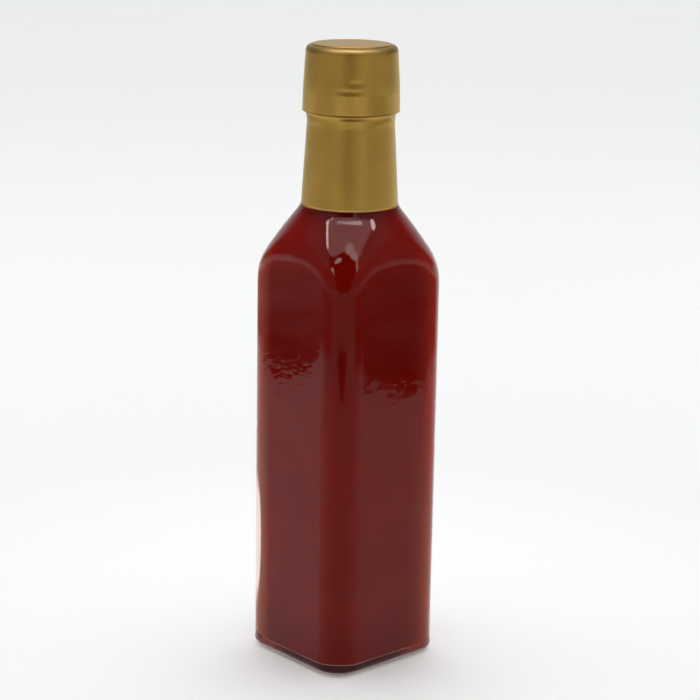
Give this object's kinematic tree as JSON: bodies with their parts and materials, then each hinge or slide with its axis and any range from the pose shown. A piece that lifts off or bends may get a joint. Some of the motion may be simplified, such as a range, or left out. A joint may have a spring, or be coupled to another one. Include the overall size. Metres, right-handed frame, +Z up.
{
  "type": "vinegar bottle",
  "caption": "Square clear glass bottle with round corners and a conical shoulder, full of dark red vinegar, shut by a gold capsule over its cap and neck.",
  "frame": {"origin": "middle of the base, on the surface that the bottle stands on", "axes": "+Z up along the bottle's axis, +X and +Y square to the flat sides"},
  "size_m": [0.048, 0.048, 0.2047],
  "materials": {
    "clear_glass": "clear, smooth",
    "red_vinegar": "dark red liquid, slightly cloudy",
    "gold_foil": "satin gold"
  },
  "bodies": {
    "root": {"bottle": "clear_glass", "vinegar": "red_vinegar", "capsule": "gold_foil", "capsule_disc": "gold_foil"}
  },
  "joints": []
}
